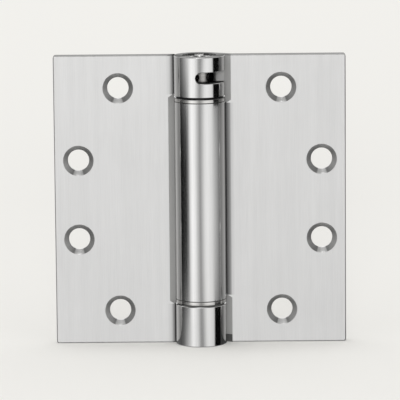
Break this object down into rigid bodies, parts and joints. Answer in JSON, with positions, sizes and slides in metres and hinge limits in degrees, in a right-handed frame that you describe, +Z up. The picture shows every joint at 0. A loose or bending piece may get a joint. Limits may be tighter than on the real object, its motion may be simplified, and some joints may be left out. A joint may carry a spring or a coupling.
{
  "type": "spring hinge",
  "caption": "Square-cornered door hinge: countersunk leaves rolled round a barrel that holds a torsion spring, with a slotted collar that sets its tension.",
  "frame": {"origin": "middle of the barrel's axis, which is the centre of the open hinge", "axes": "+Z up along the barrel's axis towards the slotted knuckle, +X towards the leaf with the end knuckles, -Y out of the countersunk face"},
  "size_m": [0.1142, 0.02, 0.1142],
  "materials": {
    "leaf_steel": "satin stainless, brushed along the barrel",
    "ring_steel": "bright turned",
    "washer_black": "dark acetal",
    "collar_steel": "turned, plain",
    "spindle_steel": "turned, plain",
    "clip_steel": "blackened",
    "plug_steel": "pressed, plain",
    "spring_steel": "oil tempered",
    "washer_nylon": "natural",
    "pin_steel": "ground"
  },
  "bodies": {
    "knuckle_leaf": {"knuckle_leaf": "leaf_steel", "upper_thrust_washer": "washer_black", "lower_thrust_washer": "washer_black", "lower_pivot": "spindle_steel", "pivot_pin": "pin_steel", "pivot_retaining_ring": "clip_steel", "top_end_plug": "plug_steel", "bottom_end_plug": "plug_steel"},
    "barrel_leaf": {"barrel_leaf": "leaf_steel", "upper_bearing": "ring_steel", "lower_bearing": "ring_steel", "upper_spring_washer": "washer_nylon", "lower_spring_washer": "washer_nylon", "spring_anchor": "spindle_steel", "anchor_pin": "pin_steel", "torsion_spring": "spring_steel"},
    "tension_collar": {"tension_collar": "collar_steel", "spring_spindle": "spindle_steel", "spindle_retaining_ring": "clip_steel"}
  },
  "joints": [
    {"name": "leaf_swing", "type": "hinge", "parent": "knuckle_leaf", "child": "barrel_leaf", "pos_m": [0, 0, 0], "axis": [0, 0, 1], "range_deg": [-90, 180], "deforming": ["torsion_spring"]},
    {"name": "collar_turn", "type": "hinge", "parent": "knuckle_leaf", "child": "tension_collar", "pos_m": [0, 0, 0], "axis": [0, 0, 1], "range_deg": [0, 240], "deforming": ["torsion_spring"]}
  ]
}
